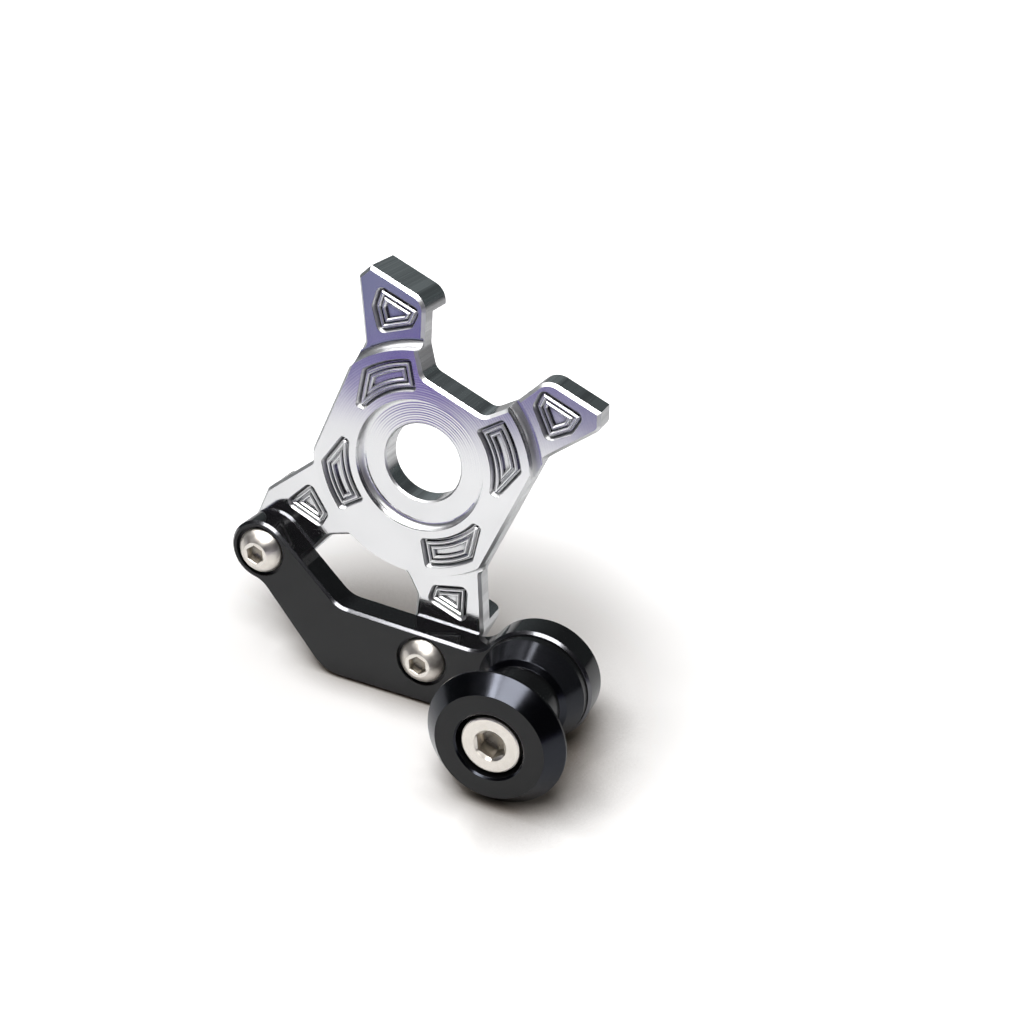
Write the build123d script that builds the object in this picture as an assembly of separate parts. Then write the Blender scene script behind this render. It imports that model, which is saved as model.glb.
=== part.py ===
from build123d import *
from math import asin, atan2, cos, pi, radians, sin
import os

os.makedirs("parts", exist_ok=True)

# Frame: X runs along the swingarm towards the spool, Z is up, Y runs along the axle towards the wheel.
# The origin is the axle bore's centre on the flat back face that seats on the swingarm.

# Axle plate, seen from outside
PLATE_T = 7.5
ARM_T = 4.25
BODY_FRONT_W = 23.9
BODY_REAR_W = 23.3
BOSS_R = 26.4
BORE_D = 18.2
RECESS_R = 15.5
RECESS_DEPTH = 2.3
RECESS_FILLET = 1.2
STEP_FILLET = 1.8
EDGE_CHAMFER = 0.7
BORE_CHAMFER = 0.4
TOP_Z = 33.1
NOTCH_Z = 19.1
WAIST_Z = 17.0
FRONT_TIP_X = 31.2
REAR_TIP_X = 30.5
UPPER_TIP_Z = 29.6
LOWER_TIP_Z = -30.2
CLAW_BOTTOM_Z = -46.0

# Hooks and claws that reach behind the plate and hold the swingarm between them
CHANNEL_TOP_Z = 30.1
REAR_HOOK_Z = 28.6
CLAW_TOP_Z = -28.7
CLAW_DEPTH = 6.7
REAR_HOOK_DEPTH = 2.1
CLAW_CORNER_R = 1.5

# Screws from the bracket into the claws, M6 button heads
SCREW_FRONT_X = -24.1
SCREW_REAR_X = 22.2
SCREW_Z = CLAW_BOTTOM_Z + 4.9
SCREW_D = 6.0
SCREW_LENGTH = 15.0
SCREW_HEAD_D = 10.5
SCREW_HEAD_H = 3.3
SCREW_SOCKET_AF = 4.0
SCREW_SOCKET_DEPTH = 2.0
SCREW_CBORE_D = 12.6
SCREW_CBORE_DEPTH = 1.2
SCREW_HOLE_PLAY = 0.25
THREAD_PLAY = 0.05

# Bracket
BRACKET_T = 7.5
BRACKET_CHAMFER = 0.6
BRACKET_END_R = 7.65
BRACKET_BEND = (-1.2, -41.6)
BRACKET_BEND_R = 7.0
BRACKET_HEEL_R = 6.0
BRACKET_TOE_R = 9.5
BRACKET_NECK_R = 6.0
UPPER_SLOPE = 19.2
LOWER_SLOPE = 21.2
HEEL_SLOPE = 27.7

# Spool and its M8 cap screw
SPOOL_X = 47.2
SPOOL_Z = -28.8
DISC_R = 13.5
SPOOL_LENGTH = 26.3
SPOOL_FACE_R = 12.3
SPOOL_RIM_R = 15.7
SPOOL_RIM_LAND = 0.9
SPOOL_CONE_LENGTH = 3.9
SPOOL_SHOULDER_R = 11.8
SPOOL_WAIST_R = 9.0
SPOOL_INNER_R = 12.7
SPOOL_STEP_R = 10.25
SPOOL_BOLT_D = 8.0
SPOOL_BOLT_LENGTH = 30.0
SPOOL_BOLT_HEAD_D = 13.0
SPOOL_BOLT_HEAD_H = 8.0
SPOOL_BOLT_SOCKET_AF = 6.0
SPOOL_BOLT_SOCKET_DEPTH = 4.0
SPOOL_BOLT_SINK = 0.7
SPOOL_CBORE_R = 7.6
SPOOL_HOLE_PLAY = 0.2

# Pockets milled in the plate's face with leaning walls, and nested ridges on their floors
POCKET_DEPTH = 1.2
POCKET_LEAN_H = 0.9
POCKET_LEAN_W = 0.7
RIDGE_H = 0.9
RIDGE_W = 0.8
RIDGE_GAP = 0.3
RIDGE_CHAMFER = 0.3

ARM_Y = -ARM_T
BOSS_Y = -PLATE_T
BRACKET_Y = ARM_Y - BRACKET_T
SPOOL_Y = BRACKET_Y - SPOOL_LENGTH


def at(x, y, z):
    return Location((x, y, z))


def rounded_face(corners):
    """A face in local x and y from (x, y, radius) corners."""
    face = Sketch() + make_face(Polyline([(x, y) for x, y, _ in corners], close=True))
    for x, y, r in corners:
        if r:
            corner = face.vertices().sort_by(lambda v: (v.X - x) ** 2 + (v.Y - y) ** 2)[0]
            face = fillet(corner, r)
    return face


def outwards(face, y_from, y_to):
    """A prism from a face drawn in X and Z, between two depths along Y."""
    return extrude(Plane.XZ.offset(-y_from) * face, amount=y_from - y_to, dir=(0, -1, 0))


def bore_tool(x, z, radius, y_from, y_to):
    return outwards(Pos(x, z) * Circle(radius), y_from, y_to)


def half_outline(body_w, tip_x, corner_x, corner_r):
    """Corners of the plate's rear half, read from the notch down to the claw."""
    return [
        (7.9, NOTCH_Z, 2.6),
        (11.4, 23.6, 3.0),
        (15.4, TOP_Z, 4.2),
        (corner_x, TOP_Z, 0.0),
        (tip_x, UPPER_TIP_Z, corner_r),
        (body_w, WAIST_Z, 2.0),
        (body_w, -WAIST_Z, 2.0),
        (tip_x, LOWER_TIP_Z, 2.0),
        (tip_x, CLAW_BOTTOM_Z + 1.9, 0.0),
        (tip_x - 1.9, CLAW_BOTTOM_Z, 0.0),
        (17.4, CLAW_BOTTOM_Z, 1.5),
        (12.6, -31.5, 3.4),
        (8.0, -27.9, 2.8),
    ]


def plate_outline():
    rear = half_outline(BODY_REAR_W, REAR_TIP_X, 28.7, 1.8)
    front = half_outline(BODY_FRONT_W, FRONT_TIP_X, 29.6, 1.0)
    return rounded_face(rear + [(-x, y, r) for x, y, r in reversed(front)])


def corner_claws(outline):
    """The four ends that reach behind the plate."""
    def end(x_sign, z_low, z_high, depth):
        x_mid = x_sign * 25
        window = Pos(x_mid, (z_low + z_high) / 2) * Rectangle(50, z_high - z_low)
        return outwards(outline & window, depth, -ARM_T / 2)

    front_hook = end(-1, CHANNEL_TOP_Z, TOP_Z + 5, CLAW_DEPTH)
    rear_hook = end(1, REAR_HOOK_Z, TOP_Z + 5, REAR_HOOK_DEPTH)
    claws = []
    for sign in (-1, 1):
        claw = end(sign, CLAW_BOTTOM_Z - 5, CLAW_TOP_Z, CLAW_DEPTH)
        far = claw.edges().filter_by(Axis.Z).group_by(Axis.Y)[-1].sort_by(Axis.X)
        claws.append(fillet(far[-1] if sign > 0 else far[0], CLAW_CORNER_R))
    return [front_hook, rear_hook] + claws


def arc_pocket():
    """Upper rear pocket on the boss between two arcs, with one side along the plate's edge."""
    outer_r = 24.5
    inner_r = 17.2
    corners = [(16.8, 4.2), (18.9, 4.2), (20.9, 13.0), (20.9, 21.5), (11.9, 21.5), (7.5, 15.3), (7.5, 10.0), (13.0, 4.2)]
    return Sketch() + (make_face(Polyline(corners, close=True)) & Circle(outer_r)) - Circle(inner_r)


def upper_arm_pocket():
    return Sketch() + make_face(Polyline([(26.3, 30.6), (15.3, 30.7), (15.4, 26.0), (21.8, 20.5), (25.8, 25.4)], close=True))


def lower_arm_pocket():
    return Sketch() + make_face(Polyline([(26.2, -31.0), (15.2, -31.2), (14.7, -26.6), (22.2, -21.6)], close=True))


def pocket_tools(face, corner_r, y_face):
    """The cut, with rounded corners and walls that lean out, and the ridges that stand on its floor."""
    floor_y = y_face + POCKET_DEPTH
    cut = outwards(fillet(face.vertices(), corner_r), floor_y, y_face - 1)
    cut = chamfer(cut.faces().sort_by(Axis.Y)[-1].edges(), POCKET_LEAN_H, POCKET_LEAN_W)
    ridges = []
    inset = POCKET_LEAN_W + RIDGE_GAP
    for _ in range(2):
        ring = offset(face, amount=-inset) - offset(face, amount=-inset - RIDGE_W)
        ridge = outwards(ring, floor_y, floor_y - RIDGE_H)
        ridges.append(chamfer(ridge.faces().sort_by(Axis.Y)[0].edges(), RIDGE_CHAMFER))
        inset += RIDGE_GAP + RIDGE_W
    return cut, ridges


def axle_plate():
    outline = plate_outline()
    arms = outwards(outline, 0, ARM_Y)
    rim = arms.faces().sort_by(Axis.Y)[0].edges()
    arms = chamfer(rim, EDGE_CHAMFER)
    hidden_y = ARM_Y + EDGE_CHAMFER + 0.2
    section = make_face([
        Line((0, hidden_y), (BOSS_R, hidden_y)),
        Line((BOSS_R, hidden_y), (BOSS_R, ARM_Y)),
        Line((BOSS_R, ARM_Y), (BOSS_R + STEP_FILLET, ARM_Y)),
        ThreePointArc((BOSS_R + STEP_FILLET, ARM_Y), (BOSS_R + STEP_FILLET * (1 - cos(radians(45))),
                      ARM_Y - STEP_FILLET * (1 - cos(radians(45)))), (BOSS_R, ARM_Y - STEP_FILLET)),
        Line((BOSS_R, ARM_Y - STEP_FILLET), (BOSS_R, BOSS_Y)),
        Line((BOSS_R, BOSS_Y), (0, BOSS_Y)),
        Line((0, BOSS_Y), (0, hidden_y)),
    ])
    boss = revolve(section, axis=Axis.Y, revolution_arc=360) & outwards(outline, hidden_y, BOSS_Y - 1)
    straight = boss.faces().sort_by(Axis.Y)[0].edges().filter_by(
        lambda e: e.geom_type != GeomType.CIRCLE or abs(e.radius - BOSS_R) > 0.5)
    boss = chamfer(straight, EDGE_CHAMFER)
    body = arms + boss
    for claw in corner_claws(outline):
        body += claw
    recess = bore_tool(0, 0, RECESS_R, BOSS_Y + RECESS_DEPTH, BOSS_Y - 1)
    recess = fillet(recess.faces().sort_by(Axis.Y)[-1].edges(), RECESS_FILLET)
    body -= recess
    body -= bore_tool(0, 0, BORE_D / 2, 1, BOSS_Y - 1)
    for x in (SCREW_FRONT_X, SCREW_REAR_X):
        body -= bore_tool(x, SCREW_Z, SCREW_D / 2 + THREAD_PLAY, CLAW_DEPTH + 1, ARM_Y - 1)
    arc_cut, arc_ridges = pocket_tools(arc_pocket(), 1.0, BOSS_Y)
    rear = [(arc_cut, arc_ridges), (mirror(arc_cut, about=Plane.XY), [mirror(r, about=Plane.XY) for r in arc_ridges])]
    rear += [pocket_tools(face, 1.7, ARM_Y) for face in (upper_arm_pocket(), lower_arm_pocket())]
    for cut, ridges in rear:
        body -= cut
        body -= mirror(cut, about=Plane.YZ)
        for ridge in ridges:
            body += ridge
            body += mirror(ridge, about=Plane.YZ)
    mouth = body.edges().filter_by(
        lambda e: e.geom_type == GeomType.CIRCLE and abs(e.radius - BORE_D / 2) < 0.01 and e.length > 40)
    return chamfer(mouth.sort_by(Axis.Y)[0], BORE_CHAMFER)


def corner_near(face, x, y):
    return face.vertices().sort_by(lambda v: (v.X - x) ** 2 + (v.Y - y) ** 2)[0]


def bracket_outline():
    """A bent bar, tangent to a small end about one screw and to the disc that carries the spool."""
    end = Vector(SCREW_FRONT_X, SCREW_Z)
    disc = Vector(SPOOL_X, SPOOL_Z)
    bend = Vector(*BRACKET_BEND)
    reach = bend - end
    half = asin(BRACKET_END_R / reach.length)
    upper_left = atan2(reach.Y, reach.X) - half
    top = end + Vector(cos(upper_left + pi / 2), sin(upper_left + pi / 2)) * BRACKET_END_R
    lower = radians(LOWER_SLOPE)
    low = disc + Vector(sin(lower), -cos(lower)) * DISC_R
    heel_dir = Vector(cos(radians(HEEL_SLOPE)), -sin(radians(HEEL_SLOPE)))
    heel = end + Vector(2.95, -7.05)
    low_dir = Vector(-cos(lower), -sin(lower))
    gap = low - heel
    cross = heel_dir.X * low_dir.Y - heel_dir.Y * low_dir.X
    toe = heel + heel_dir * ((gap.X * low_dir.Y - gap.Y * low_dir.X) / cross)
    upper = radians(UPPER_SLOPE)
    neck = bend + Vector(cos(upper), sin(upper)) * 37.5
    web = make_face(Polyline([(p.X, p.Y) for p in (top, bend, neck, disc, low, toe, heel, end)], close=True))
    face = Sketch() + web + Pos(end.X, end.Y) * Circle(BRACKET_END_R) + Pos(disc.X, disc.Y) * Circle(DISC_R)
    face = fillet(corner_near(face, bend.X, bend.Y), BRACKET_BEND_R)
    face = fillet(corner_near(face, neck.X, neck.Y), BRACKET_NECK_R)
    face = fillet(corner_near(face, heel.X, heel.Y), BRACKET_HEEL_R)
    return fillet(corner_near(face, toe.X, toe.Y), BRACKET_TOE_R)


def bracket_arm():
    body = outwards(bracket_outline(), ARM_Y, BRACKET_Y)
    for side in (0, -1):
        body = chamfer(body.faces().sort_by(Axis.Y)[side].edges(), BRACKET_CHAMFER)
    for x in (SCREW_FRONT_X, SCREW_REAR_X):
        body -= bore_tool(x, SCREW_Z, SCREW_D / 2 + SCREW_HOLE_PLAY, 0, BRACKET_Y - 1)
        body -= bore_tool(x, SCREW_Z, SCREW_CBORE_D / 2, BRACKET_Y + SCREW_CBORE_DEPTH, BRACKET_Y - 1)
    body -= bore_tool(SPOOL_X, SPOOL_Z, SPOOL_BOLT_D / 2 + THREAD_PLAY, 0, BRACKET_Y - 1)
    return body


def turned(profile, x, z, y_zero):
    """A solid of revolution from (radius, distance outwards) points, on an axis along Y."""
    face = make_face(Polyline([(r, d) for r, d in profile], close=True))
    solid = revolve(face, axis=Axis.Y, revolution_arc=360)
    return at(x, y_zero, z) * solid


def spool():
    face_d = SPOOL_LENGTH
    rim_d = face_d - SPOOL_CONE_LENGTH
    back_d = rim_d - SPOOL_RIM_LAND
    seat_d = face_d - SPOOL_BOLT_SINK - SPOOL_BOLT_HEAD_H
    bore_r = SPOOL_BOLT_D / 2 + SPOOL_HOLE_PLAY
    profile = [
        (bore_r, 0),
        (SPOOL_INNER_R - 0.5, 0),
        (SPOOL_INNER_R, 0.5),
        (SPOOL_INNER_R, 2.2),
        (SPOOL_STEP_R, 6.7),
        (SPOOL_WAIST_R, 7.6),
        (SPOOL_WAIST_R, 15.6),
        (SPOOL_SHOULDER_R, back_d - 1.3),
        (SPOOL_RIM_R - 0.3, back_d),
        (SPOOL_RIM_R, back_d + 0.3),
        (SPOOL_RIM_R, rim_d),
        (SPOOL_FACE_R, face_d),
        (SPOOL_CBORE_R + 0.4, face_d),
        (SPOOL_CBORE_R, face_d - 0.4),
        (SPOOL_CBORE_R, seat_d),
        (bore_r, seat_d),
    ]
    return turned([(r, -d) for r, d in profile], SPOOL_X, SPOOL_Z, BRACKET_Y)


def hex_socket(af, depth, x, z, y_face):
    return outwards(Pos(x, z) * RegularPolygon(af / 2, 6, major_radius=False), y_face + depth, y_face - 1)


def spool_bolt():
    seat_y = SPOOL_Y + SPOOL_BOLT_SINK + SPOOL_BOLT_HEAD_H
    head_y = seat_y - SPOOL_BOLT_HEAD_H
    head_r = SPOOL_BOLT_HEAD_D / 2
    r = SPOOL_BOLT_D / 2
    profile = [
        (0, -SPOOL_BOLT_HEAD_H),
        (head_r - 0.7, -SPOOL_BOLT_HEAD_H),
        (head_r, -SPOOL_BOLT_HEAD_H + 0.7),
        (head_r, 0),
        (r, 0),
        (r, SPOOL_BOLT_LENGTH - 0.7),
        (r - 0.7, SPOOL_BOLT_LENGTH),
        (0, SPOOL_BOLT_LENGTH),
    ]
    bolt = turned(profile, SPOOL_X, SPOOL_Z, seat_y)
    return bolt - hex_socket(SPOOL_BOLT_SOCKET_AF, SPOOL_BOLT_SOCKET_DEPTH, SPOOL_X, SPOOL_Z, head_y)


def bracket_screw(x):
    seat_y = BRACKET_Y + SCREW_CBORE_DEPTH
    head_r = SCREW_HEAD_D / 2
    flat_r = 2.9
    r = SCREW_D / 2
    dome = [(flat_r, -SCREW_HEAD_H), (4.35, -2.45), (head_r, -0.6)]
    section = make_face([
        Line((0, -SCREW_HEAD_H), dome[0]),
        ThreePointArc(*dome),
        Line(dome[2], (head_r, 0)),
        Line((head_r, 0), (r, 0)),
        Line((r, 0), (r, SCREW_LENGTH - 0.6)),
        Line((r, SCREW_LENGTH - 0.6), (r - 0.6, SCREW_LENGTH)),
        Line((r - 0.6, SCREW_LENGTH), (0, SCREW_LENGTH)),
        Line((0, SCREW_LENGTH), (0, -SCREW_HEAD_H)),
    ])
    screw = at(x, seat_y, SCREW_Z) * revolve(section, axis=Axis.Y, revolution_arc=360)
    return screw - hex_socket(SCREW_SOCKET_AF, SCREW_SOCKET_DEPTH, x, SCREW_Z, seat_y - SCREW_HEAD_H)


def save(shape, name):
    export_step(shape, os.path.join("parts", name + ".step"))


save(axle_plate(), "axle_plate")
save(bracket_arm(), "bracket_arm")
save(spool(), "spool")
save(spool_bolt(), "spool_bolt")
save(bracket_screw(SCREW_FRONT_X), "bracket_screw_front")
save(bracket_screw(SCREW_REAR_X), "bracket_screw_rear")
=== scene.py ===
import math

import bmesh
import bpy
from mathutils import Matrix, Vector


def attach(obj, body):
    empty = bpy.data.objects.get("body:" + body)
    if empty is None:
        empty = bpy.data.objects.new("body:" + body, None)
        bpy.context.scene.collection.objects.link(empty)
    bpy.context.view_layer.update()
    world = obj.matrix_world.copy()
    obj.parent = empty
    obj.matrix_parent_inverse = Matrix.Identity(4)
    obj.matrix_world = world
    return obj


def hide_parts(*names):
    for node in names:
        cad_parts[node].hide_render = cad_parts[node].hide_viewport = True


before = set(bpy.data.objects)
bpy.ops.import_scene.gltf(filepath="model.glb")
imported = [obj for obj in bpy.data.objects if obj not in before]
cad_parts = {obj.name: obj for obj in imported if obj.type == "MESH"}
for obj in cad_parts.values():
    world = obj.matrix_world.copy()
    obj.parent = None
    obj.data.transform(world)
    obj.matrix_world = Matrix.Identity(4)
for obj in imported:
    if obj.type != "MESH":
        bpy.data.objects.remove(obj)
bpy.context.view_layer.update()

MM = 0.001
MICRON = 0.000001

# The unit stands tilted on the table: this direction is up there, and that one points to the camera's side.
TABLE_UP = Vector((-0.3606, -0.0756, 0.9297)).normalized()
TABLE_AHEAD = (Vector((0, -1, 0)) - TABLE_UP * Vector((0, -1, 0)).dot(TABLE_UP)).normalized()
TABLE_SIDE = TABLE_UP.cross(TABLE_AHEAD)

# Axes of the three screws
SPOOL_AXIS = Vector((47.2, 0, -28.8)) * MM
FRONT_SCREW = Vector((-24.1, 0, -41.1)) * MM
REAR_SCREW = Vector((22.2, 0, -41.1)) * MM

# The spool's cap screw, in mm
CAP_SEAT = -29.35
CAP_HEAD_HEIGHT = 8.0
CAP_HEAD_RADIUS = 6.65
CAP_SOCKET = 6.0
CAP_SHANK_RADIUS = 4.0
CAP_LENGTH = 30.0
CAP_THREAD_START = 17.0
CAP_PITCH = 1.25
CAP_THREAD_DEPTH = 0.62

# The bracket's button screws, in mm
BUTTON_SEAT = -10.55
BUTTON_HEAD_HEIGHT = 3.3
BUTTON_HEAD_RADIUS = 5.6
BUTTON_CROWN_RADIUS = 3.0
BUTTON_DOME_RADIUS = 6.4
BUTTON_SOCKET = 4.0
BUTTON_SHANK_RADIUS = 3.0
BUTTON_LENGTH = 15.0
BUTTON_THREAD_START = 9.0
BUTTON_PITCH = 1.0
BUTTON_THREAD_DEPTH = 0.5

# The sockets' insides, darkened by painted shade, in mm: axis, mouth, radius, and how deep the painted shade
# starts and is full
SOCKETS = (
    (SPOOL_AXIS, CAP_SEAT - CAP_HEAD_HEIGHT, 3.9, 1.2, 3.8),
    (FRONT_SCREW, BUTTON_SEAT - BUTTON_HEAD_HEIGHT, 2.5, 0.4, 1.2),
    (REAR_SCREW, BUTTON_SEAT - BUTTON_HEAD_HEIGHT, 2.5, 0.4, 1.2),
)

# The milling cutter's marks on the plate, in mm
RING_PITCH = 0.55
RING_SWELL = 1.37
RECESS_RADIUS = 15.6
RECESS_DEPTH = (-7.0, -5.4)
CUTTER_RADIUS = 20.0
CUTTER_STEP = 0.85
CUTTER_OFFSET = 6.0

# The photograph's camera
CAMERA_RIGHT = Vector((0.829, 0.372, 0.418))
CAMERA_UP = Vector((-0.546, 0.375, 0.749))
CAMERA_BACK = Vector((0.121, -0.849, 0.514))
CAMERA_PLACE = Vector((58.06, -252.0, 151.5)) * MM
CAMERA_LENS = 46.78

# Softboxes: name, direction from the unit, sides in metres, and how bright each is
SOFTBOX_DISTANCE = 0.6
SOFTBOX_TARGET = Vector((12.0, -10.0, -10.0)) * MM
SOFTBOXES = (
    ("softbox_overhead", (-0.22, -0.53, 0.82), (0.32, 0.30), 9.6),
    ("softbox_core", (-0.61, -0.435, 0.665), (0.20, 0.08), 16.0),
    ("softbox_upper_left", (-0.55, -0.08, 0.83), (0.12, 0.08), 11.0),
    ("softbox_left", (-0.86, -0.12, 0.50), (0.16, 0.28), 3.5),
)


# Node trees

class Shading:
    """A material or world whose nodes are added one line at a time."""

    def __init__(self, owner):
        owner.use_nodes = True
        self.tree = owner.node_tree
        self.tree.nodes.clear()

    def link(self, value, socket):
        if isinstance(value, bpy.types.NodeSocket):
            self.tree.links.new(value, socket)
        else:
            socket.default_value = value

    def add(self, kind, settings=None, **sockets):
        """A new node. A socket is given by its name, or as i0, i1 and so on by its number."""
        node = self.tree.nodes.new(kind)
        for key, value in (settings or {}).items():
            setattr(node, key, value)
        for key, value in sockets.items():
            numbered = key[0] == "i" and key[1:].isdigit()
            socket = node.inputs[int(key[1:])] if numbered else node.inputs[key.replace("_", " ")]
            self.link(value, socket)
        return node

    def math(self, operation, a, b=0.0):
        return self.add("ShaderNodeMath", {"operation": operation}, i0=a, i1=b).outputs[0]

    def vector(self, operation, a, b=(0, 0, 0)):
        node = self.add("ShaderNodeVectorMath", {"operation": operation}, i0=a, i1=b)
        return node.outputs["Value" if operation in ("LENGTH", "DOT_PRODUCT", "DISTANCE") else "Vector"]

    def scaled(self, a, factor):
        node = self.add("ShaderNodeVectorMath", {"operation": "SCALE"}, i0=a)
        node.inputs["Scale"].default_value = factor
        return node.outputs["Vector"]

    def between(self, value, low, high, out_low=0.0, out_high=1.0, smooth=False):
        """Runs from out_low to out_high while the value runs from low to high."""
        node = self.add("ShaderNodeMapRange", {"clamp": True}, Value=value)
        if smooth:
            node.interpolation_type = "SMOOTHSTEP"
        for key, number in (("From Min", low), ("From Max", high), ("To Min", out_low), ("To Max", out_high)):
            node.inputs[key].default_value = number
        return node.outputs["Result"]

    def mix(self, factor, a, b):
        """Colour a where the factor is 0 and colour b where it is 1."""
        node = self.add("ShaderNodeMix", {"data_type": "RGBA"})
        for socket, value in ((node.inputs[0], factor), (node.inputs[6], a), (node.inputs[7], b)):
            self.link(value, socket)
        return node.outputs[2]

    def pick(self, factor, a, b):
        """Number a where the factor is 0 and number b where it is 1."""
        node = self.add("ShaderNodeMix", {"data_type": "FLOAT"})
        for socket, value in ((node.inputs[0], factor), (node.inputs[2], a), (node.inputs[3], b)):
            self.link(value, socket)
        return node.outputs[0]

    def noise(self, where, scale, detail=2.0, roughness=0.5):
        node = self.add("ShaderNodeTexNoise", Vector=where, Scale=scale, Detail=detail, Roughness=roughness)
        return node.outputs[0]

    def wave(self, length, pitch):
        return self.math("SINE", self.math("MULTIPLY", length, 2 * math.pi / pitch))

    def rounded(self, radius):
        """The normal that the surface has with its edges rounded."""
        return self.add("ShaderNodeBevel", {"samples": 4}, Radius=radius).outputs[0]

    def edge_wear(self, radius):
        """1 on the rubbed edges and 0 away from them."""
        true = self.add("ShaderNodeNewGeometry").outputs["Normal"]
        return self.between(self.vector("DOT_PRODUCT", self.rounded(radius), true), 0.995, 0.9)

    def surface(self, shader):
        self.add("ShaderNodeOutputMaterial", Surface=shader)


def grey(value, blue=0.0):
    return (value, value, value + blue, 1.0)


def material_in_mm(name):
    """A new material, its object coordinates in mm, and how far its normal points along the axle."""
    material = bpy.data.materials.new(name)
    s = Shading(material)
    coords = s.add("ShaderNodeTexCoord")
    place = s.scaled(coords.outputs["Object"], 1 / MM)
    along = s.add("ShaderNodeSeparateXYZ", Vector=coords.outputs["Normal"]).outputs["Y"]
    return material, s, place, along


# Finishes

def milled_marks(s, place, along, face, side):
    """Height of the cutter's marks: rings on the front, arcs on the back and straight lines on the sides."""
    flat = s.vector("MULTIPLY", place, (1, 0, 1))
    axes = s.add("ShaderNodeSeparateXYZ", Vector=place).outputs
    radius = s.vector("LENGTH", flat)
    in_recess = s.between(axes["Y"], *RECESS_DEPTH)
    recess = s.math("MULTIPLY", s.between(radius, RECESS_RADIUS, RECESS_RADIUS - 0.4), in_recess)
    fan = s.noise(s.vector("NORMALIZE", flat), 2.2, 2.0)
    swell = s.math("MULTIPLY", s.wave(radius, RING_SWELL), 0.7)
    depth = s.math("MULTIPLY", s.pick(recess, 0.5, 2.4), s.between(fan, 0.35, 0.65, 0.3, 1.3))
    rings = s.math("MULTIPLY", s.math("ADD", s.wave(radius, RING_PITCH), swell), depth)
    row = s.math("PINGPONG", s.math("ADD", axes["Z"], CUTTER_OFFSET), CUTTER_RADIUS)
    across = s.math("SUBTRACT", row, CUTTER_RADIUS / 2)
    reach = s.math("SQRT", s.math("SUBTRACT", CUTTER_RADIUS ** 2, s.math("MULTIPLY", across, across)))
    arcs = s.math("MULTIPLY", s.wave(s.math("ADD", axes["X"], reach), CUTTER_STEP), 1.8)
    back = s.math("GREATER_THAN", along, 0.5)
    cut = s.math("MULTIPLY", s.pick(back, rings, arcs), face)
    lines = s.math("MULTIPLY", s.math("MULTIPLY", s.noise(flat, 1.6, 3.0, 0.6), 9.0), side)
    grain = s.math("MULTIPLY", s.noise(place, 2.0, 2.0), 0.8)
    return s.math("ADD", s.math("ADD", cut, lines), grain)


def bright_aluminium():
    """Milled aluminium with painted shade in the pockets' corners, duller in streaks down the sides, rubbed
    on its edges.
    """
    material, s, place, along = material_in_mm("bright_aluminium")
    flat = s.vector("MULTIPLY", place, (1, 0, 1))
    steep = s.math("ABSOLUTE", along)
    face = s.between(steep, 0.95, 0.99)
    side = s.between(steep, 0.3, 0.1)
    height = milled_marks(s, place, along, face, side)
    bump = s.add("ShaderNodeBump", Strength=1.0, Distance=1.5 * MICRON, Height=height)

    wide = s.noise(place, 0.08, 1.0)
    wear = s.edge_wear(0.15 * MM)
    rough = s.pick(face, s.pick(side, 0.36, 0.17), s.between(wide, 0.3, 0.7, 0.1, 0.15))
    tone = s.mix(s.between(wide, 0.35, 0.65), grey(0.86, 0.006), grey(0.91, 0.004))
    streaks = s.math("ADD", s.noise(flat, 0.35, 1.0), s.math("MULTIPLY", s.noise(flat, 2.4, 2.0), 0.5))
    streaks = s.math("MULTIPLY", s.between(streaks, 0.62, 0.88), side)
    tone = s.mix(streaks, tone, grey(0.6, 0.004))
    # Painted shade: local ambient occlusion darkens the colour towards grey in the pockets' corners and
    # grooves.
    open_sky = s.add("ShaderNodeAmbientOcclusion", {"samples": 6, "only_local": True}, Distance=1.1 * MM)
    corners = s.between(open_sky.outputs["AO"], 0.92, 0.45)
    tone = s.mix(corners, tone, grey(0.28, 0.008))
    shader = s.add(
        "ShaderNodeBsdfPrincipled",
        Base_Color=s.mix(wear, tone, grey(0.95)),
        Metallic=1.0,
        Roughness=s.math("ADD", rough, s.math("MULTIPLY", wear, 0.06)),
        Anisotropic=0.35,
        Normal=bump.outputs[0],
        Tangent=s.vector("NORMALIZE", flat),
    )
    s.surface(shader.outputs[0])
    return material


def black_anodised():
    """Black anodised aluminium: satin on the faces, glossy on the cut sides, bright on the cut edges."""
    material, s, place, along = material_in_mm("black_anodised")
    steep = s.math("ABSOLUTE", along)
    face = s.between(steep, 0.93, 0.99)
    cut_edge = s.math("MULTIPLY", s.between(steep, 0.5, 0.6), s.between(steep, 0.85, 0.78))
    fine = s.noise(place, 5.0, 3.0, 0.6)
    wide = s.noise(place, 0.15, 2.0)
    height = s.math("MULTIPLY", fine, s.pick(face, 0.15, 1.0))
    rounded = s.rounded(0.2 * MM)
    bump = s.add("ShaderNodeBump", Strength=1.0, Distance=2.5 * MICRON, Height=height, Normal=rounded)
    tone = s.mix(s.between(wide, 0.3, 0.7), grey(0.0045, 0.0005), grey(0.0065, 0.0005))
    rough = s.pick(face, s.between(wide, 0.3, 0.7, 0.07, 0.1), s.between(fine, 0.3, 0.7, 0.36, 0.44))
    shader = s.add(
        "ShaderNodeBsdfPrincipled",
        Base_Color=s.mix(cut_edge, tone, grey(0.17, 0.01)),
        Metallic=cut_edge,
        IOR=1.5,
        Roughness=s.math("ADD", rough, s.math("MULTIPLY", cut_edge, 0.12)),
        Normal=bump.outputs[0],
    )
    s.surface(shader.outputs[0])
    return material


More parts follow.
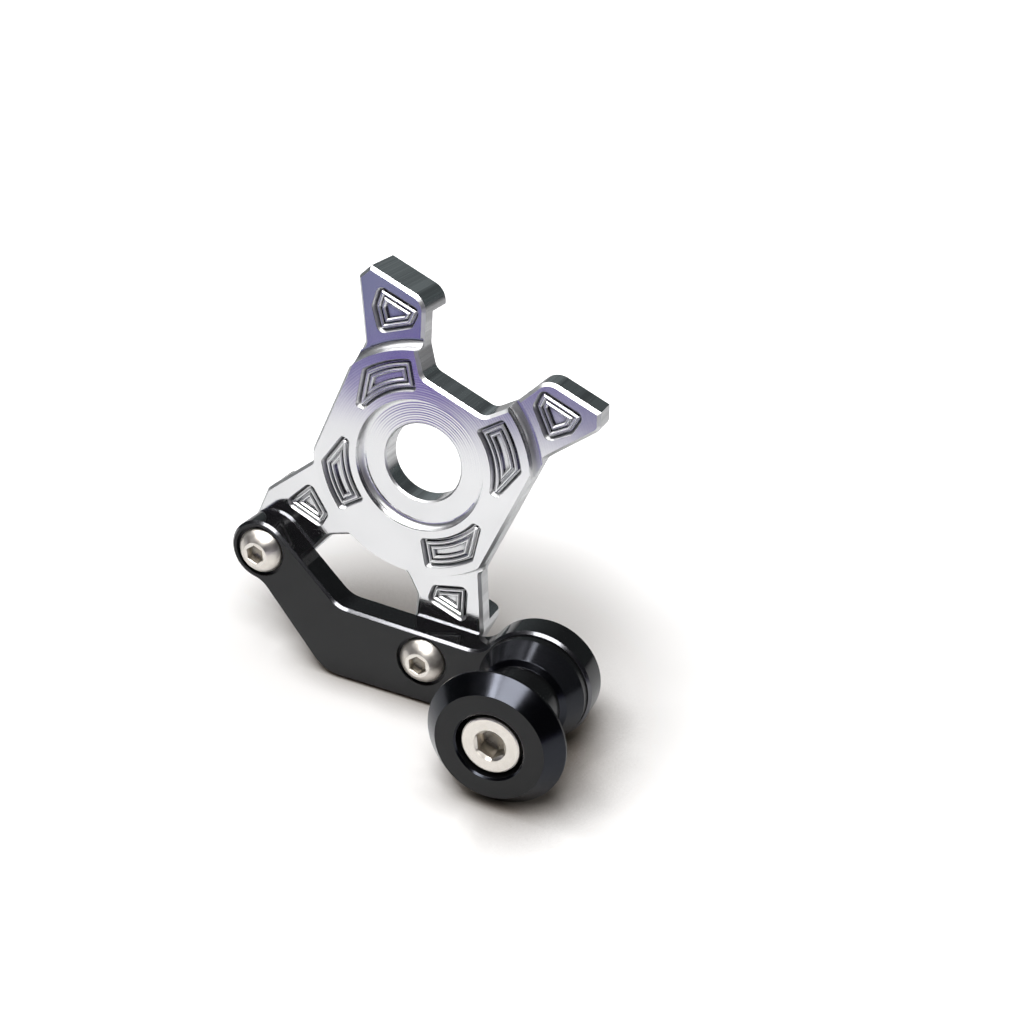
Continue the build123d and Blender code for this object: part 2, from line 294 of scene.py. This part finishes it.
def turned_black():
    """Black anodised spool with fine turning marks round its axis and a shinier cone."""
    material, s, place, along = material_in_mm("black_spool")
    flat = s.vector("MULTIPLY", place, (1, 0, 1))
    radius = s.vector("LENGTH", s.vector("SUBTRACT", flat, tuple(SPOOL_AXIS / MM)))
    depth = s.add("ShaderNodeSeparateXYZ", Vector=place).outputs["Y"]
    outwards, lengthwise = s.math("MULTIPLY", radius, 6.0), s.math("MULTIPLY", depth, 6.0)
    line = s.add("ShaderNodeCombineXYZ", X=outwards, Y=lengthwise).outputs[0]
    marks = s.noise(line, 1.0, 2.0, 0.6)
    patches = s.noise(place, 0.4, 2.0)
    rounded = s.rounded(0.15 * MM)
    bump = s.add("ShaderNodeBump", Strength=1.0, Distance=1.6 * MICRON, Height=marks, Normal=rounded)
    steep = s.math("ABSOLUTE", along)
    face = s.between(steep, 0.9, 0.98)
    cone = s.math("MULTIPLY", s.between(steep, 0.4, 0.5), s.between(steep, 0.88, 0.82))
    tone = s.mix(s.between(marks, 0.3, 0.7), grey(0.004, 0.0004), grey(0.006, 0.0004))
    rough = s.pick(face, s.pick(cone, 0.22, 0.17), 0.36)
    shader = s.add(
        "ShaderNodeBsdfPrincipled",
        Base_Color=s.mix(cone, tone, (0.036, 0.038, 0.045, 1)),
        Metallic=cone,
        IOR=1.45,
        Roughness=s.math("ADD", rough, s.between(patches, 0.3, 0.7, -0.02, 0.03)),
        Normal=bump.outputs[0],
    )
    s.surface(shader.outputs[0])
    return material


def stainless():
    """Warm stainless screws, turned round their own axes, with painted shade down in their sockets."""
    material, s, place, along = material_in_mm("stainless")
    flat = s.vector("MULTIPLY", place, (1, 0, 1))
    depth = s.add("ShaderNodeSeparateXYZ", Vector=place).outputs["Y"]
    radius = socket_painted_shade = None
    # Painted shade: the colour turns dark down inside each socket, past the given depth.
    for axis, mouth, wide, start, full in SOCKETS:
        from_axis = s.vector("DISTANCE", flat, tuple(axis / MM))
        sunk = s.between(depth, mouth + start, mouth + full)
        inside = s.math("MULTIPLY", s.between(from_axis, wide, wide - 0.2), sunk)
        radius = from_axis if radius is None else s.math("MINIMUM", radius, from_axis)
        socket_painted_shade = inside if socket_painted_shade is None else s.math("MAXIMUM", socket_painted_shade, inside)
    line = s.add("ShaderNodeCombineXYZ", X=s.math("MULTIPLY", radius, 5.0)).outputs[0]
    marks = s.noise(line, 1.0, 2.0, 0.6)
    patches = s.noise(place, 0.9, 2.0)
    dome = s.between(s.math("ABSOLUTE", along), 0.99, 0.95)
    bump = s.add("ShaderNodeBump", Strength=1.0, Distance=1.5 * MICRON, Height=marks)
    tone = s.mix(s.between(patches, 0.35, 0.65), (0.84, 0.79, 0.72, 1), (0.91, 0.86, 0.79, 1))
    rough = s.math("ADD", s.between(patches, 0.3, 0.7, 0.17, 0.24), s.math("MULTIPLY", dome, 0.15))
    shader = s.add(
        "ShaderNodeBsdfPrincipled",
        Base_Color=s.mix(socket_painted_shade, tone, (0.27, 0.25, 0.22, 1)),
        Metallic=1.0,
        Roughness=rough,
        Anisotropic=0.4,
        Tangent=s.vector("NORMALIZE", flat),
        Normal=bump.outputs[0],
    )
    s.surface(shader.outputs[0])
    return material


# Screws

def cut_hexagon(bm, low, high, across):
    """Presses the inner rows between two heights, in mm, into a hexagon of this width across its flats."""
    for v in bm.verts:
        r = math.hypot(v.co.x, v.co.z)
        if low * MM <= v.co.y <= high * MM and 0.2 * MM < r < across * 0.48 * MM:
            turn = math.atan2(v.co.z, v.co.x) % (math.pi / 3) - math.pi / 6
            grow = across / 2 * MM / math.cos(turn) / r
            v.co.x *= grow
            v.co.z *= grow


def cut_thread(bm, start, stop, pitch, depth, crest):
    """Sinks a thread into the rows on the shank between two heights, in mm."""
    for v in bm.verts:
        r = math.hypot(v.co.x, v.co.z)
        y = v.co.y / MM
        if start < y < stop and r > (crest - 0.7) * MM:
            phase = (y / pitch - math.atan2(v.co.z, v.co.x) / (2 * math.pi)) % 1.0
            cut = depth * min(1.0, (y - start) / pitch) * (1 - abs(2 * phase - 1)) * MM
            v.co.x *= (r - cut) / r
            v.co.z *= (r - cut) / r


def turned_screw(name, node, profile, axis, material, hexagons, thread):
    """Spins (radius, y) points, in mm, round an axis along Y, and takes the place of the frame's node."""
    bm = bmesh.new()
    row = [bm.verts.new((r * MM, y * MM, 0)) for r, y in profile]
    for a, b in zip(row, row[1:]):
        bm.edges.new((a, b))
    bmesh.ops.spin(
        bm, geom=bm.verts[:] + bm.edges[:], cent=(0, 0, 0), axis=(0, 1, 0), dvec=(0, 0, 0),
        angle=2 * math.pi, steps=72, use_merge=True, use_normal_flip=False, use_duplicate=False)
    bmesh.ops.remove_doubles(bm, verts=bm.verts[:], dist=0.002 * MM)
    for hexagon in hexagons:
        cut_hexagon(bm, *hexagon)
    cut_thread(bm, *thread)
    bmesh.ops.recalc_face_normals(bm, faces=bm.faces[:])
    mesh = bpy.data.meshes.new(name)
    bm.to_mesh(mesh)
    bm.free()
    mesh.transform(Matrix.Translation(axis))
    for p in mesh.polygons:
        p.use_smooth = True
    mesh.set_sharp_from_angle(angle=math.radians(28))
    mesh.materials.append(material)
    piece = bpy.data.objects.new(name, mesh)
    bpy.context.scene.collection.objects.link(piece)
    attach(piece, "root")
    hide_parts(node)


def shank(radius, start, stop, step):
    """Points down a straight shank, about one step apart."""
    count = int(round((stop - start) / step))
    return [(radius, start + (stop - start) * i / count) for i in range(count + 1)]


def dome_points(start, end, radius, count):
    """Points on the outer arc of the given radius from start to end, without the start."""
    a, b = Vector(start), Vector(end)
    half = (b - a) / 2
    rise = math.sqrt(radius ** 2 - half.length ** 2)
    inward = Vector((-half.y, half.x)).normalized()
    centre = a + half + inward * rise
    first = math.atan2(a.y - centre.y, a.x - centre.x)
    last = math.atan2(b.y - centre.y, b.x - centre.x)
    points = []
    for i in range(1, count + 1):
        turn = first + (last - first) * i / count
        points.append((centre.x + radius * math.cos(turn), centre.y + radius * math.sin(turn)))
    return points


def cap_screw(material):
    """Flat head with a hexagon socket, and a threaded end that shows behind the bracket."""
    seat, rim, shaft = CAP_SEAT, CAP_HEAD_RADIUS, CAP_SHANK_RADIUS
    face = seat - CAP_HEAD_HEIGHT
    thread = seat + CAP_THREAD_START
    end = seat + CAP_LENGTH
    profile = [(0, face + 4.9), (2.7, face + 4.0), (2.75, face + 0.5), (3.7, face)]
    profile += [(rim - 0.55, face), (rim - 0.35, face + 0.04), (rim - 0.1, face + 0.2), (rim, face + 0.45)]
    profile += [(rim, seat), (shaft, seat)]
    profile += shank(shaft, seat + 0.6, thread, 4.0) + shank(shaft, thread + 0.2, end - 0.8, 0.15)
    profile += [(shaft - 0.7, end), (0, end)]
    turned_screw(
        "spool_bolt_detail", "spool_bolt", profile, SPOOL_AXIS, material,
        hexagons=[(face + 0.4, face + 4.2, CAP_SOCKET)],
        thread=(thread + 0.1, end - 0.7, CAP_PITCH, CAP_THREAD_DEPTH, shaft))


def button_screw(name, node, axis, material):
    """Domed head with a hexagon socket and a threaded end."""
    seat, rim, shaft = BUTTON_SEAT, BUTTON_HEAD_RADIUS, BUTTON_SHANK_RADIUS
    crown = seat - BUTTON_HEAD_HEIGHT
    thread = seat + BUTTON_THREAD_START
    end = seat + BUTTON_LENGTH
    profile = [(0, crown + 2.6), (1.8, crown + 2.0), (1.85, crown + 0.15), (1.95, crown)]
    profile += [(BUTTON_CROWN_RADIUS, crown)]
    profile += dome_points((BUTTON_CROWN_RADIUS, crown), (rim, seat - 0.8), BUTTON_DOME_RADIUS, 10)
    profile += [(rim, seat - 0.1), (rim - 0.1, seat), (shaft, seat)]
    profile += shank(shaft, seat + 0.6, thread, 4.0) + shank(shaft, thread + 0.1, end - 0.6, 0.15)
    profile += [(shaft - 0.6, end), (0, end)]
    turned_screw(
        name, node, profile, axis, material,
        hexagons=[
            (crown + 0.1, crown + 2.2, BUTTON_SOCKET),
            (crown - 0.01, crown + 0.05, BUTTON_SOCKET + 0.2),
        ],
        thread=(thread, end - 0.5, BUTTON_PITCH, BUTTON_THREAD_DEPTH, shaft))


# Stage, lights and camera

def white_table():
    """White with a soft warm shadow for the camera. In the metal's mirror it turns to dusk far ahead."""
    material = bpy.data.materials.new("white_table")
    s = Shading(material)
    path = s.add("ShaderNodeLightPath").outputs
    coords = s.add("ShaderNodeTexCoord").outputs["Object"]
    forward = s.vector("DOT_PRODUCT", coords, tuple(TABLE_AHEAD))
    sideways = s.vector("DOT_PRODUCT", coords, tuple(TABLE_SIDE))

    sheltered = s.math("MAXIMUM", s.between(forward, 0.005, -0.015), s.between(sideways, 0.03, 0.045))
    reach = s.pick(sheltered, 0.012, 0.045)
    open_sky = s.add("ShaderNodeAmbientOcclusion", {"samples": 8}, Distance=reach).outputs["AO"]
    open_sky = s.math("MINIMUM", s.math("MULTIPLY", open_sky, 1.1), 1.0)
    open_sky = s.math("POWER", open_sky, s.pick(sheltered, 1.5, 2.8))
    shadow = (0.10, 0.07, 0.045, 1)
    white = s.add("ShaderNodeBsdfDiffuse", Color=s.mix(open_sky, shadow, grey(0.9))).outputs[0]
    clear_white = s.between(s.vector("LENGTH", coords), 0.066, 0.14, smooth=True)
    glow = s.mix(clear_white, (0.07, 0.052, 0.034, 1), grey(1.0))
    glow = s.add("ShaderNodeEmission", Color=glow, Strength=open_sky).outputs[0]
    lit = s.add("ShaderNodeAddShader", i0=white, i1=glow).outputs[0]

    dusk = s.mix(s.between(sideways, -0.165, -0.115), (0.198, 0.206, 0.342, 1), (0.165, 0.115, 0.39, 1))
    dusk = s.mix(s.between(sideways, -0.10, -0.05), dusk, (0.21, 0.195, 0.35, 1))
    dim = s.add("ShaderNodeEmission", Color=dusk, Strength=1.0).outputs[0]
    softer = s.add("ShaderNodeBsdfDiffuse", Color=s.mix(open_sky, shadow, grey(0.83))).outputs[0]
    far_ahead = s.math("MULTIPLY", s.between(forward, 0.168, 0.24, smooth=True), path["Is Glossy Ray"])
    mirrored = s.add("ShaderNodeMixShader", i0=far_ahead, i1=softer, i2=dim).outputs[0]
    seen = s.add("ShaderNodeMixShader", i0=path["Is Camera Ray"], i1=mirrored, i2=lit).outputs[0]

    clear = s.add("ShaderNodeBsdfTransparent").outputs[0]
    underside = s.add("ShaderNodeNewGeometry").outputs["Backfacing"]
    from_below = s.math("MULTIPLY", underside, path["Is Camera Ray"])
    s.surface(s.add("ShaderNodeMixShader", i0=from_below, i1=seen, i2=clear).outputs[0])
    return material


def table_top():
    """A wide flat table that the unit's lowest corners touch."""
    corners = [v.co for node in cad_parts.values() for v in node.data.vertices]
    low = min(corner.dot(TABLE_UP) for corner in corners)
    turn = Matrix((TABLE_SIDE, -TABLE_AHEAD, TABLE_UP)).transposed()
    bm = bmesh.new()
    bmesh.ops.create_grid(bm, x_segments=1, y_segments=1, size=2.5)
    mesh = bpy.data.meshes.new("table")
    bm.to_mesh(mesh)
    bm.free()
    mesh.transform(Matrix.Translation(TABLE_UP * low) @ turn.to_4x4())
    mesh.materials.append(white_table())
    table = bpy.data.objects.new("table", mesh)
    bpy.context.scene.collection.objects.link(table)


def surroundings():
    """White for the camera. For everything else a dim room, greener and lighter behind the table."""
    world = bpy.data.worlds.new("studio")
    bpy.context.scene.world = world
    s = Shading(world)
    path = s.add("ShaderNodeLightPath").outputs
    towards = s.add("ShaderNodeTexCoord").outputs["Generated"]
    height = s.vector("DOT_PRODUCT", towards, tuple(TABLE_UP))
    ahead = s.vector("DOT_PRODUCT", towards, tuple(TABLE_AHEAD))
    across = s.add("ShaderNodeSeparateXYZ", Vector=towards).outputs["X"]
    low = s.mix(s.between(across, -0.30, -0.12), (0.17, 0.195, 0.2, 1), (0.07, 0.082, 0.084, 1))
    rear = s.mix(s.between(height, 0.3, 0.75), low, (0.04, 0.042, 0.045, 1))
    room = s.mix(s.between(ahead, -0.5, 0.3), rear, (0.035, 0.033, 0.04, 1))
    seen = s.mix(path["Is Camera Ray"], room, grey(1.0))
    s.add("ShaderNodeOutputWorld", Surface=s.add("ShaderNodeBackground", Color=seen, Strength=1.0).outputs[0])


def softbox(name, towards, size, radiance):
    """A lamp in this direction from the unit, whose power grows with its area."""
    lamp = bpy.data.lights.new(name, "AREA")
    lamp.shape = "RECTANGLE"
    lamp.size, lamp.size_y = size
    lamp.energy = radiance * math.pi * size[0] * size[1]
    piece = bpy.data.objects.new(name, lamp)
    towards = Vector(towards).normalized()
    piece.location = SOFTBOX_TARGET + towards * SOFTBOX_DISTANCE
    piece.rotation_mode = "QUATERNION"
    piece.rotation_quaternion = towards.to_track_quat("Z", "Y")
    bpy.context.scene.collection.objects.link(piece)


def photo_camera():
    data = bpy.data.cameras.new("camera")
    data.sensor_width = 36.0
    data.lens = CAMERA_LENS
    data.clip_start, data.clip_end = 0.01, 20.0
    camera = bpy.data.objects.new("camera", data)
    camera.rotation_mode = "QUATERNION"
    camera.rotation_quaternion = Matrix((CAMERA_RIGHT, CAMERA_UP, CAMERA_BACK)).transposed().to_quaternion()
    camera.location = CAMERA_PLACE
    bpy.context.scene.collection.objects.link(camera)
    bpy.context.scene.camera = camera


finishes = {
    "axle_plate": bright_aluminium(),
    "bracket_arm": black_anodised(),
    "spool": turned_black(),
}
for node, finish in finishes.items():
    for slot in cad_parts[node].material_slots:
        slot.material = finish

steel = stainless()
cap_screw(steel)
button_screw("bracket_screw_front_detail", "bracket_screw_front", FRONT_SCREW, steel)
button_screw("bracket_screw_rear_detail", "bracket_screw_rear", REAR_SCREW, steel)

table_top()
surroundings()
for name, towards, size, radiance in SOFTBOXES:
    softbox(name, towards, size, radiance)
photo_camera()
bpy.context.scene.view_settings.view_transform = "Standard"
